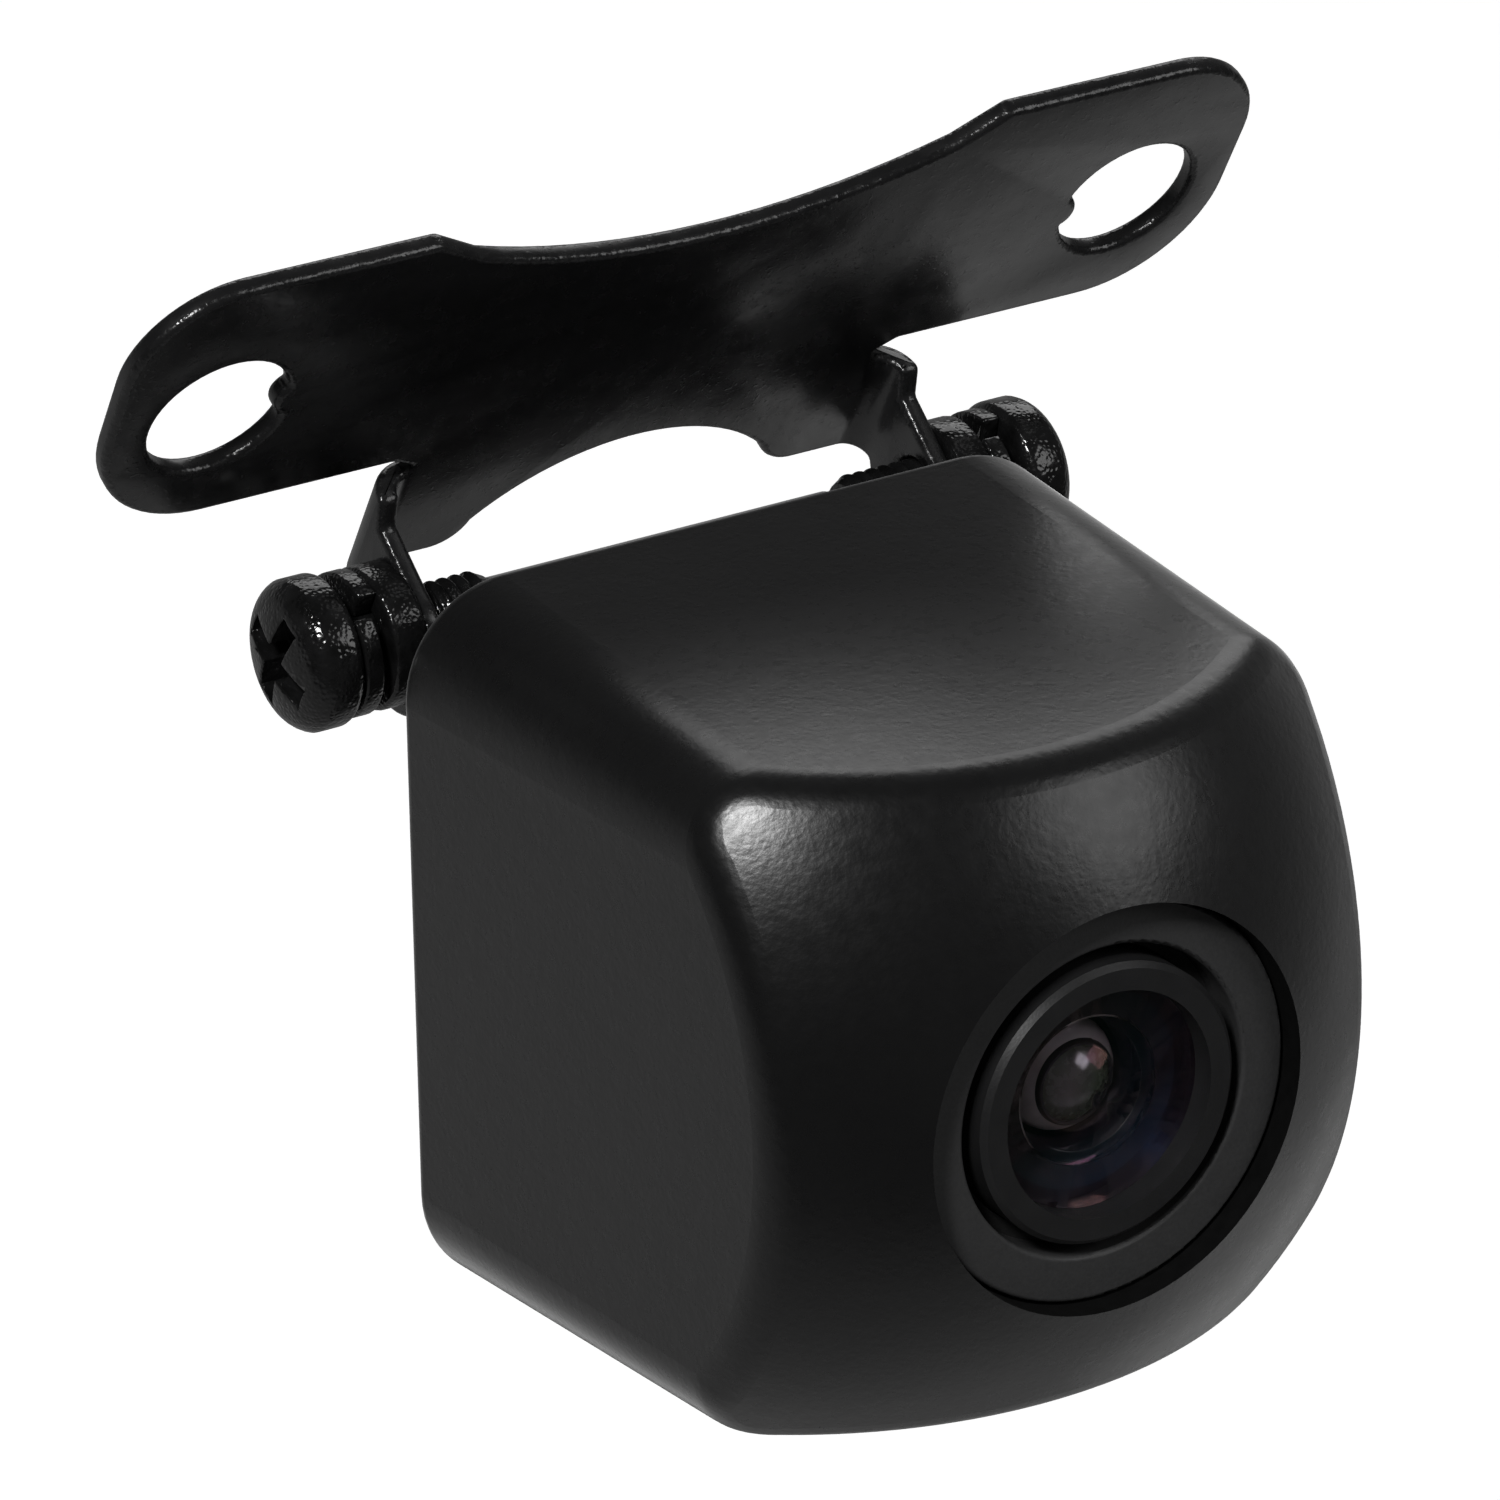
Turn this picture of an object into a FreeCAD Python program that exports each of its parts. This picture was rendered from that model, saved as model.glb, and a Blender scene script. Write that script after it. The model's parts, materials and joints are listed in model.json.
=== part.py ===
"""Backup camera: a small square camera that tilts on a two-winged sheet bracket.

Row frame: origin midway between the two mounting holes on the bracket's back face, +X to the right seen
from in front of the lens, -Y out of the lens side, +Z up. The camera parts are drawn in a lens frame
(y = 0 on the housing's back rim, lens axis along -Y) and are then tilted about the pivot screws.
"""
import FreeCAD, Part
import math
import os
import re
import Sketcher

doc = FreeCAD.newDocument("BackupCamera")

DIMENSIONS = {
    # Bracket: flat sheet standing in the XZ plane, back face at y = 0
    "plate_thick": 0.7,
    "hole_x": 16.6,
    "hole_rad": 2.4,
    "tooth_rad": 0.7,
    "tooth_x": 13.95,
    "tip_x": 20.45,
    "wing_top": 5.9,
    "wing_low": -4.55,
    "tip_top_rad": 3.6,
    "tip_low_rad": 4.3,
    "saddle_x": 8.6,
    "saddle_z": 4.84,
    "saddle_rad": 24.0,
    "shoulder_x": 10.3,
    "relief_x": 9.3,
    "relief_z": -4.95,
    "fold_x": 8.55,
    "fold_top": -5.25,
    "fold_inner": 0.75,
    "lobe_z": -9.6,
    "lobe_x": 6.9,
    "arch_x": 5.4,
    "arch_z": -8.6,
    "arch_rad": 7.5,
    "lobe_rad": 1.5,
    # Ears, measured from the pivot axis
    "ear_hole": 1.28,
    "ear_end_rad": 2.4,
    "ear_end_y": -0.1,
    "ear_end_z": -0.5,
    "ear_neck_y": 2.2,
    "ear_neck_z": 2.35,
    "ear_foot_y": 1.462,
    "ear_foot_z": -2.322,
    # Pivot: axis position in the row frame and in the lens frame, and the camera's tilt at rest
    "pivot_y": -4.0,
    "pivot_z": -8.6,
    "pivot_back": 3.7,
    "pivot_high": 9.0,
    "rest_tilt": 29.9,
    # Washers and pivot screws, stacked outwards along X from the ear
    "ear_outer": 10.0,
    "washer_thick": 1.2,
    "washer_rad": 2.3,
    "washer_bore": 1.3,
    "spring_wire": 0.65,
    "spring_rise": 0.5,
    "spring_turns": 0.95,
    "screw_rad": 1.25,
    "thread_core": 1.03,
    "thread_pitch": 0.45,
    "thread_end": 6.65,
    "point_rad": 0.5,
    "point_end": 5.4,
    "head_seat": 12.35,
    "head_rad": 2.45,
    "head_round": 0.35,
    "head_side": 13.45,
    "head_shoulder": 14.15,
    "shoulder_rad": 1.7,
    "shoulder_curve": 1.1,
    "head_top": 14.4,
    "cross_wide": 0.4,
    "cross_long": 1.6,
    "cross_deep": 1.2,
    # Front housing: rounded square, drafted towards a domed front
    "back_half": 12.0,
    "corner_rad": 3.6,
    "housing_deep": 22.85,
    "draft_deg": 3.4,
    "dome_rad": 18.0,
    "dome_cut": 16.55,
    "dome_blend": 1.8,
    "rim_blend": 0.5,
    "recess_half": 11.1,
    "recess_rad": 2.65,
    "ledge_deep": 2.1,
    "cavity_half": 9.5,
    "cavity_flat": 5.9,
    "board_seat": 8.0,
    "front_wide": 6.6,
    "front_high": 8.4,
    "front_wall": 16.55,
    "mouth_rad": 6.65,
    "mouth_seat": 18.85,
    "mouth_bore": 4.75,
    "case_screw_at": 9.2,
    "case_screw_rad": 0.8,
    # Rear cover with its pivot lug, gasket and cable inlet
    "cover_half": 11.05,
    "cover_rad": 2.6,
    "cover_thick": 1.6,
    "lug_half": 6.3,
    "lug_top": 9.8,
    "lug_low": 5.6,
    "lug_back": 5.6,
    "lug_round": 1.9,
    "lug_foot": 1.2,
    "socket_rad": 0.53,
    "socket_end": 5.3,
    "inlet_z": -3.5,
    "inlet_rad": 2.0,
    "inlet_flange": 3.4,
    "inlet_inner": 2.7,
    "inlet_out": 1.6,
    "inlet_in": 2.3,
    "inlet_round": 0.5,
    "cable_rad": 1.55,
    "csk_head": 1.5,
    "csk_hole": 1.55,
    "csk_deep": 0.8,
    "csk_angle": 41.2,
    "case_hole_rad": 0.85,
    "case_cross": 0.8,
    "case_cross_wide": 0.18,
    "case_cross_deep": 0.5,
    "case_screw_end": 7.2,
    # Lens stack: each depth is the distance in front of the housing's back rim
    "ring_outer": 6.55,
    "ring_inner": 5.06,
    "ring_front": 20.8,
    "ring_back": 19.45,
    "ring_edge": 0.15,
    "seal_inner": 4.62,
    "barrel_rad": 4.57,
    "barrel_front": 21.1,
    "barrel_step": 17.15,
    "thread_rad": 4.0,
    "barrel_back": 11.2,
    "bezel_inner": 3.69,
    "bezel_step": 18.45,
    "bore_rad": 3.0,
    "bore_step": 12.2,
    "exit_rad": 2.2,
    "rim_chamfer": 0.18,
    "front_glass_rad": 3.66,
    "front_glass_tip": 20.95,
    "front_glass_edge": 20.3,
    "front_glass_back": 19.35,
    "front_bowl_rad": 2.25,
    "front_bowl_tip": 20.25,
    "spacer_ring_bore": 2.3,
    "middle_face": 2.2,
    "middle_tip": 19.0,
    "middle_back": 16.55,
    "stop_back": 16.15,
    "stop_bore": 0.9,
    "rear_face": 2.1,
    "rear_tip": 11.7,
    "element_rad": 2.97,
    # Electronics
    "board_half": 9.3,
    "board_flat": 5.8,
    "board_thick": 1.0,
    "power_front": 4.0,
    "power_back": 3.2,
    "holder_half": 6.2,
    "holder_base": 9.4,
    "holder_rad": 5.4,
    "holder_front": 15.5,
    "holder_bore": 4.02,
    "holder_step": 10.6,
    "holder_window": 2.6,
    "filter_front": 10.2,
    "filter_rad": 3.65,
    "filter_back": 9.8,
    "chamber_rad": 3.7,
    "sensor_front": 8.9,
    "sensor_wide": 2.7,
    "sensor_high": 2.3,
    "processor_half": 2.5,
    "processor_low": -1.0,
    "processor_high": 4.0,
    "processor_thick": 0.9,
    "connector_wide": 4.0,
    "connector_low": -6.5,
    "connector_high": -4.0,
    "regulator_left": 2.0,
    "regulator_right": 5.0,
    "regulator_low": 3.0,
    "regulator_high": 6.0,
    "regulator_thick": 1.2,
    "screw_x": 8.0,
    "screw_z": 3.5,
    "board_screw_rad": 0.7,
    "board_hole_rad": 0.75,
    "board_head_rad": 1.3,
    "board_head_top": 2.4,
    "board_screw_end": 11.5,
    "board_tap_deep": 4.0,
    "spacer_rad": 1.3,
}

# Radii of domes and bowls whose centres lie on their own axis, from edge radius and rise
DERIVED = {
    "front_glass_curve": "(front_glass_rad^2 / (front_glass_tip - front_glass_edge)"
                         " + front_glass_tip - front_glass_edge) / 2",
    "front_bowl_curve": "(front_bowl_rad^2 / (front_bowl_tip - front_glass_back)"
                        " + front_bowl_tip - front_glass_back) / 2",
    "middle_curve": "(middle_face^2 / (middle_tip - bezel_step) + middle_tip - bezel_step) / 2",
    "rear_curve": "(rear_face^2 / (bore_step - rear_tip) + bore_step - rear_tip) / 2",
    "crown_curve": "(shoulder_rad^2 / (head_top - head_shoulder) + head_top - head_shoulder) / 2",
    "dome_cut_back": "housing_deep - dome_rad + sqrt(dome_rad^2 - dome_cut^2)",
}

dims = doc.addObject("Spreadsheet::Sheet", "Dims")
cells = {alias: str(number) for alias, number in DIMENSIONS.items()}
cells.update({alias: "=" + formula for alias, formula in DERIVED.items()})
for row, (alias, content) in enumerate(cells.items(), start=1):
    dims.set(f"A{row}", alias)
    dims.set(f"B{row}", content)
    dims.setAlias(f"B{row}", alias)
doc.recompute()

parts = []
homes = []


# ---- Small helpers -------------------------------------------------------------------------------

def value(expression):
    """Number for a sum of aliases and numbers, such as '-ear_outer - 0.2'."""
    total = 0.0
    for sign, word in re.findall(r"([+-]?)\s*([A-Za-z_0-9.]+)", expression):
        number = float(word) if word[0].isdigit() else float(dims.get(word))
        total += -number if sign == "-" else number
    return total


def bound(expression):
    """The same sum as a spreadsheet expression."""
    return re.sub(r"[A-Za-z_]\w*", lambda found: "Dims." + found.group(0), expression)


def new_body(label, placement):
    body = doc.addObject("PartDesign::Body", label)
    body.Label = label
    body.AllowCompound = True
    homes.append((body, placement))
    parts.append(body)
    return body


def new_sketch(body, plane, height="0"):
    """Sketch on an origin plane; height moves it along the plane's normal."""
    origin = next(item for item in body.Origin.OriginFeatures if item.Role == plane)
    sketch = body.newObject("Sketcher::SketchObject", body.Label + "_sketch")
    sketch.AttachmentSupport = [(origin, "")]
    sketch.MapMode = "FlatFace"
    sketch.setExpression("AttachmentOffset.Base.z", bound(height))
    return sketch


def pin(sketch, geometry, point, across, up):
    """Fix one point of the geometry at two sheet-driven distances from the sketch origin."""
    for kind, expression in (("DistanceX", across), ("DistanceY", up)):
        index = sketch.addConstraint(
            Sketcher.Constraint(kind, -1, 1, geometry, point, value(expression)))
        sketch.setExpression(f"Constraints[{index}]", bound(expression))


def draw_circle(sketch, across, up, radius):
    centre = FreeCAD.Vector(value(across), value(up), 0)
    circle = sketch.addGeometry(Part.Circle(centre, FreeCAD.Vector(0, 0, 1), value(radius)))
    pin(sketch, circle, 3, across, up)
    index = sketch.addConstraint(Sketcher.Constraint("Radius", circle, value(radius)))
    sketch.setExpression(f"Constraints[{index}]", bound(radius))


def arc_between(start, end, radius, bulge):
    """Short arc between two points; bulge +1 bows to the left of the way, -1 to the right.

    It runs anticlockwise, so one that bows to the left starts at the way's end.
    """
    chord = end - start
    side = FreeCAD.Vector(chord.y, -chord.x, 0).normalize() * bulge
    centre = (start + end) / 2 + side * math.sqrt(radius ** 2 - (chord.Length / 2) ** 2)
    first, last = (end, start) if bulge > 0 else (start, end)
    angles = [math.atan2(spot.y - centre.y, spot.x - centre.x) for spot in (first, last)]
    return Part.ArcOfCircle(Part.Circle(centre, FreeCAD.Vector(0, 0, 1), radius), *angles)


def draw_outline(sketch, points):
    """Closed outline. A point is (across, up), or (across, up, radius, bulge) when an arc leads to it."""
    spots = [FreeCAD.Vector(value(point[0]), value(point[1]), 0) for point in points]
    for index, point in enumerate(points):
        start, end = spots[index - 1], spots[index]
        ends = (1, 2)
        if len(point) == 4:
            edge = sketch.addGeometry(arc_between(start, end, value(point[2]), point[3]))
            limit = sketch.addConstraint(Sketcher.Constraint("Radius", edge, value(point[2])))
            sketch.setExpression(f"Constraints[{limit}]", bound(point[2]))
            if point[3] > 0:
                ends = (2, 1)
        else:
            edge = sketch.addGeometry(Part.LineSegment(start, end))
        pin(sketch, edge, ends[0], points[index - 1][0], points[index - 1][1])
        pin(sketch, edge, ends[1], point[0], point[1])


def draw_rounded_square(sketch, half, radius):
    inner = f"{half} - {radius}"
    neg_inner = f"-{half} + {radius}"
    draw_outline(sketch, [
        (inner, f"-{half}"),
        (half, neg_inner, radius, -1),
        (half, inner),
        (inner, half, radius, -1),
        (neg_inner, half),
        (f"-{half}", inner, radius, -1),
        (f"-{half}", neg_inner),
        (neg_inner, f"-{half}", radius, -1),
    ])


def draw_octagon(sketch, half, flat):
    draw_outline(sketch, [
        (half, f"-{flat}"), (half, flat), (flat, half), (f"-{flat}", half),
        (f"-{half}", flat), (f"-{half}", f"-{flat}"), (f"-{flat}", f"-{half}"), (flat, f"-{half}"),
    ])


def draw_rectangle(sketch, left, right, low, high):
    draw_outline(sketch, [(left, low), (right, low), (right, high), (left, high)])


def set_length(feature, length):
    feature.setExpression("Length", bound(length))


def pad(body, sketch, length, reverse=False, both=False):
    feature = body.newObject("PartDesign::Pad", body.Label + "_pad")
    feature.Profile = sketch
    set_length(feature, length)
    feature.Reversed = reverse
    feature.Midplane = both
    doc.recompute()
    return feature


def pocket(body, sketch, length, reverse=False, both=False):
    """Cut that must remove material; a cut that points the wrong way is an error."""
    before = body.Shape.Volume
    feature = body.newObject("PartDesign::Pocket", body.Label + "_pocket")
    feature.Profile = sketch
    set_length(feature, length)
    feature.Reversed = reverse
    feature.Midplane = both
    doc.recompute()
    if body.Shape.Volume >= before - 1e-6:
        raise RuntimeError(f"{body.Label}: pocket removed nothing")
    return feature


def revolve(body, sketch, axis, cut=False):
    kind = "PartDesign::Groove" if cut else "PartDesign::Revolution"
    feature = body.newObject(kind, body.Label + "_turned")
    feature.Profile = sketch
    feature.ReferenceAxis = (sketch, [axis])
    feature.Angle = 360
    doc.recompute()
    return feature


def round_edges(body, edges, radius):
    base = body.Tip
    feature = body.newObject("PartDesign::Fillet", body.Label + "_round")
    feature.Base = (base, edges)
    feature.setExpression("Radius", bound(radius))
    doc.recompute()
    return feature


def edge_names(shape, wanted):
    return [f"Edge{index}" for index, edge in enumerate(shape.Edges, start=1)
            if not edge.Degenerated and wanted(edge)]


def tapered(feature, degrees):
    feature.setExpression("TaperAngle", bound(degrees))
    doc.recompute()


def draw_cross(sketch, across, up, arm, width):
    """Cross recess outline centred on (across, up)."""
    corners = [
        (arm, "-" + width), (arm, width), (width, width), (width, arm), ("-" + width, arm),
        ("-" + width, width), ("-" + arm, width), ("-" + arm, "-" + width), ("-" + width, "-" + width),
        ("-" + width, "-" + arm), (width, "-" + arm), (width, "-" + width),
    ]
    draw_outline(sketch, [(f"{across} {signed(right)}", f"{up} {signed(high)}") for right, high in corners])


def signed(word):
    return word if word.startswith("-") else "+ " + word


def both_sides(label, body):
    """Group of the right-hand piece and its copy turned half a turn to the left-hand side."""
    copy = doc.addObject("App::Link", label + "_left")
    copy.LinkedObject = body
    copy.LinkTransform = False
    copy.Placement = FreeCAD.Placement(PIVOT.Base, FreeCAD.Rotation(FreeCAD.Vector(0, 0, 1), 180))
    group = doc.addObject("Part::Compound", label)
    group.Label = label
    group.Links = [body, copy]
    doc.recompute()
    parts[parts.index(body)] = group


FRAME = FreeCAD.Placement()
PIVOT = FreeCAD.Placement(FreeCAD.Vector(0, value("pivot_y"), value("pivot_z")), FreeCAD.Rotation())
TILT = FreeCAD.Rotation(FreeCAD.Vector(1, 0, 0), -value("rest_tilt"))
PIVOT_IN_LENS_FRAME = FreeCAD.Vector(0, value("pivot_back"), value("pivot_high"))
CAMERA = FreeCAD.Placement(PIVOT.Base - TILT.multVec(PIVOT_IN_LENS_FRAME), TILT)


# ---- Bracket and its screws ----------------------------------------------------------------------

def make_bracket():
    body = new_body("mounting_bracket", FRAME)
    plate = new_sketch(body, "XZ_Plane")
    right = [
        ("saddle_x", "saddle_z", "saddle_rad", -1),
        ("shoulder_x", "wing_top"),
        ("tip_x - tip_top_rad", "wing_top"),
        ("tip_x", "wing_top - tip_top_rad", "tip_top_rad", 1),
        ("tip_x", "wing_low + tip_low_rad"),
        ("tip_x - tip_low_rad", "wing_low", "tip_low_rad", 1),
        ("relief_x", "wing_low"),
        ("fold_x", "relief_z"),
        ("fold_x", "lobe_z"),
        ("lobe_x", "lobe_z"),
        ("arch_x", "arch_z", "lobe_rad", 1),
    ]
    left = [
        ("-arch_x", "arch_z", "arch_rad", -1),
        ("-lobe_x", "lobe_z", "lobe_rad", 1),
        ("-fold_x", "lobe_z"),
        ("-fold_x", "relief_z"),
        ("-relief_x", "wing_low"),
        ("-tip_x + tip_low_rad", "wing_low"),
        ("-tip_x", "wing_low + tip_low_rad", "tip_low_rad", 1),
        ("-tip_x", "wing_top - tip_top_rad"),
        ("-tip_x + tip_top_rad", "wing_top", "tip_top_rad", 1),
        ("-shoulder_x", "wing_top"),
        ("-saddle_x", "saddle_z"),
    ]
    draw_outline(plate, right + left)
    pad(body, plate, "plate_thick")
    for side in ("", "-"):
        make_ear(body, side)
    holes = new_sketch(body, "XZ_Plane")
    for side in ("", "-"):
        draw_circle(holes, side + "hole_x", "0", "hole_rad")
    pocket(body, holes, "plate_thick", reverse=True)
    teeth = new_sketch(body, "XZ_Plane")
    for side in ("", "-"):
        draw_circle(teeth, side + "tooth_x", "0", "tooth_rad")
    pad(body, teeth, "plate_thick")
    pivots = new_sketch(body, "YZ_Plane")
    draw_circle(pivots, "pivot_y", "pivot_z", "ear_hole")
    pocket(body, pivots, "ear_outer + ear_outer + plate_thick", both=True)


def make_ear(body, side):
    """One ear: the rounded fold at the web and the flat cheek round the pivot hole."""
    bow = -1 if side else 1
    edge = side + "fold_x"
    inward = "+" if side else "-"
    fold = new_sketch(body, "XY_Plane", "lobe_z")
    draw_outline(fold, [
        (edge, "0", "plate_thick + fold_inner", -bow),
        (edge, "-plate_thick"),
        (f"{side}ear_outer {inward} plate_thick", "-plate_thick - fold_inner", "fold_inner", bow),
        (side + "ear_outer", "-plate_thick - fold_inner"),
    ])
    pad(body, fold, "fold_top - lobe_z")
    cheek = new_sketch(body, "YZ_Plane", f"{side}ear_outer" + ("" if side else " - plate_thick"))
    end_y, end_z = "pivot_y + ear_end_y", "pivot_z + ear_end_z"
    draw_outline(cheek, [
        ("-plate_thick - fold_inner", "lobe_z"),
        ("-plate_thick - fold_inner", "fold_top"),
        ("pivot_y + ear_neck_y", "pivot_z + ear_neck_z"),
        (end_y, end_z + " + ear_end_rad"),
        (end_y + " - ear_end_rad", end_z, "ear_end_rad", -1),
        ("pivot_y + ear_foot_y", "pivot_z + ear_foot_z", "ear_end_rad", -1),
    ])
    pad(body, cheek, "plate_thick")


def make_plain_washers():
    body = new_body("plain_washer", PIVOT)
    ring = new_sketch(body, "YZ_Plane", "ear_outer")
    draw_circle(ring, "0", "0", "washer_rad")
    draw_circle(ring, "0", "0", "washer_bore")
    pad(body, ring, "washer_thick")
    both_sides("plain_washers", body)


def make_spring_washers():
    """Split ring of square wire that climbs a little over nearly one turn."""
    body = new_body("spring_washer", PIVOT)
    wire = new_sketch(body, "XZ_Plane")
    seat = "ear_outer + washer_thick"
    draw_rectangle(wire, seat, seat + " + spring_wire", "washer_bore", "washer_rad")
    coil = body.newObject("PartDesign::AdditiveHelix", "spring_coil")
    coil.Profile = wire
    coil.ReferenceAxis = (wire, ["H_Axis"])
    coil.Mode = 2
    coil.setExpression("Height", bound("spring_rise"))
    coil.setExpression("Turns", bound("spring_turns"))
    doc.recompute()
    both_sides("spring_washers", body)


def make_pivot_screws():
    body = new_body("pivot_screw", PIVOT)
    blank = new_sketch(body, "XZ_Plane")
    draw_outline(blank, [
        ("point_end", "0"),
        ("point_end", "point_rad"),
        ("thread_end", "point_rad"),
        ("thread_end", "thread_core"),
        ("thread_end + thread_pitch", "screw_rad"),
        ("head_seat", "screw_rad"),
        ("head_seat", "head_rad - head_round"),
        ("head_seat + head_round", "head_rad", "head_round", 1),
        ("head_side", "head_rad"),
        ("head_shoulder", "shoulder_rad", "shoulder_curve", 1),
        ("head_top", "0", "crown_curve", 1),
    ])
    revolve(body, blank, "H_Axis")
    groove = new_sketch(body, "XZ_Plane")
    draw_outline(groove, [
        ("thread_end + thread_pitch", "screw_rad + 0.02"),
        ("thread_end + thread_pitch + 0.2", "thread_core"),
        ("thread_end + thread_pitch + 0.4", "screw_rad + 0.02"),
    ])
    cut = revolve(body, groove, "H_Axis", cut=True)
    rows = body.newObject("PartDesign::LinearPattern", "thread_rows")
    rows.Originals = [cut]
    rows.Direction = (groove, ["H_Axis"])
    rows.Occurrences = 5
    rows.setExpression("Length", bound("thread_pitch") + " * 4")
    body.Tip = rows
    doc.recompute()
    cross = new_sketch(body, "YZ_Plane", "head_top")
    draw_cross(cross, "0", "0", "cross_long", "cross_wide")
    pocket(body, cross, "cross_deep")
    both_sides("pivot_screws", body)


# ---- Housing, rear cover and what seals them -----------------------------------------------------

CORNERS = [("", ""), ("-", ""), ("-", "-"), ("", "-")]


def draw_four(sketch, across, up, radius):
    for left, down in CORNERS:
        draw_circle(sketch, left + across, down + up, radius)


def on_dome(edge):
    """True for the edges where the drafted sides meet the domed front."""
    centre = FreeCAD.Vector(0, value("dome_rad - housing_deep"), 0)
    spots = edge.discretize(5)
    wide = all(math.hypot(spot.x, spot.z) > value("mouth_rad") for spot in spots)
    return wide and all(abs(spot.distanceToPoint(centre) - value("dome_rad")) < 0.01 for spot in spots)


def on_back_rim(edge):
    return all(abs(spot.y) < 1e-6 for spot in edge.discretize(3))


def make_front_housing():
    body = new_body("front_housing", CAMERA)
    square = new_sketch(body, "XZ_Plane")
    draw_rounded_square(square, "back_half", "corner_rad")
    tapered(pad(body, square, "housing_deep + 1"), "-draft_deg")
    dome = new_sketch(body, "YZ_Plane")
    draw_outline(dome, [
        ("-housing_deep", "0"),
        ("-dome_cut_back", "dome_cut", "dome_rad", 1),
        ("-housing_deep - 3", "dome_cut"),
        ("-housing_deep - 3", "0"),
    ])
    revolve(body, dome, "H_Axis", cut=True)
    round_edges(body, edge_names(body.Shape, on_dome), "dome_blend")
    round_edges(body, edge_names(body.Shape, on_back_rim), "rim_blend")
    recess = new_sketch(body, "XZ_Plane")
    draw_rounded_square(recess, "recess_half", "recess_rad")
    pocket(body, recess, "ledge_deep", reverse=True)
    cavity = new_sketch(body, "XZ_Plane", "ledge_deep")
    draw_octagon(cavity, "cavity_half", "cavity_flat")
    pocket(body, cavity, "board_seat - ledge_deep", reverse=True)
    nose = new_sketch(body, "XZ_Plane", "board_seat")
    draw_rectangle(nose, "-front_wide", "front_wide", "-front_high", "front_high")
    pocket(body, nose, "front_wall - board_seat", reverse=True)
    mouth = new_sketch(body, "XZ_Plane", "mouth_seat")
    draw_circle(mouth, "0", "0", "mouth_rad")
    pocket(body, mouth, "housing_deep - mouth_seat + 1", reverse=True)
    bore = new_sketch(body, "XZ_Plane", "mouth_seat")
    draw_circle(bore, "0", "0", "mouth_bore")
    pocket(body, bore, "mouth_seat - front_wall")
    case_holes = new_sketch(body, "XZ_Plane", "ledge_deep")
    draw_four(case_holes, "case_screw_at", "case_screw_at", "case_hole_rad")
    pocket(body, case_holes, "case_screw_end - ledge_deep + 0.5", reverse=True)
    board_holes = new_sketch(body, "XZ_Plane", "board_seat")
    draw_four(board_holes, "screw_x", "screw_z", "board_hole_rad")
    pocket(body, board_holes, "board_tap_deep", reverse=True)


def make_rear_cover():
    """Flat cover with the lug whose blind sockets turn on the pivot screws' points."""
    body = new_body("rear_cover", CAMERA)
    plate = new_sketch(body, "XZ_Plane")
    draw_rounded_square(plate, "cover_half", "cover_rad")
    pad(body, plate, "cover_thick")
    lug = new_sketch(body, "YZ_Plane")
    draw_outline(lug, [
        ("-0.5", "lug_low"),
        ("-0.5", "lug_top"),
        ("lug_back - lug_round", "lug_top"),
        ("lug_back", "lug_top - lug_round", "lug_round", 1),
        ("lug_back", "lug_low + lug_foot"),
        ("lug_back - lug_foot", "lug_low", "lug_foot", 1),
    ])
    pad(body, lug, "lug_half + lug_half", both=True)
    for side in ("", "-"):
        socket = new_sketch(body, "YZ_Plane", side + "lug_half")
        draw_circle(socket, "pivot_back", "pivot_high", "socket_rad")
        pocket(body, socket, "lug_half - socket_end", reverse=bool(side))
    inlet = new_sketch(body, "XZ_Plane")
    draw_circle(inlet, "0", "inlet_z", "inlet_rad")
    pocket(body, inlet, "cover_thick", reverse=True)
    sinks = new_sketch(body, "XZ_Plane")
    draw_four(sinks, "case_screw_at", "case_screw_at", "csk_hole")
    tapered(pocket(body, sinks, "csk_deep", reverse=True), "-csk_angle")
    holes = new_sketch(body, "XZ_Plane")
    draw_four(holes, "case_screw_at", "case_screw_at", "case_hole_rad")
    pocket(body, holes, "cover_thick", reverse=True)


def make_rear_cover_gasket():
    body = new_body("rear_cover_gasket", CAMERA)
    frame = new_sketch(body, "XZ_Plane", "cover_thick")
    draw_rounded_square(frame, "cover_half", "cover_rad")
    draw_octagon(frame, "cavity_half", "cavity_flat")
    draw_four(frame, "case_screw_at", "case_screw_at", "case_hole_rad")
    pad(body, frame, "ledge_deep - cover_thick")


def make_rear_cover_screws():
    body = new_body("rear_cover_screws", CAMERA)
    heads = new_sketch(body, "XZ_Plane")
    draw_four(heads, "case_screw_at", "case_screw_at", "csk_head")
    tapered(pad(body, heads, "csk_deep"), "-csk_angle")
    shanks = new_sketch(body, "XZ_Plane", "csk_deep")
    draw_four(shanks, "case_screw_at", "case_screw_at", "case_screw_rad")
    pad(body, shanks, "case_screw_end - csk_deep")
    crosses = new_sketch(body, "XZ_Plane")
    for left, down in CORNERS:
        draw_cross(crosses, left + "case_screw_at", down + "case_screw_at",
                   "case_cross", "case_cross_wide")
    pocket(body, crosses, "case_cross_deep", reverse=True)


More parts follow.
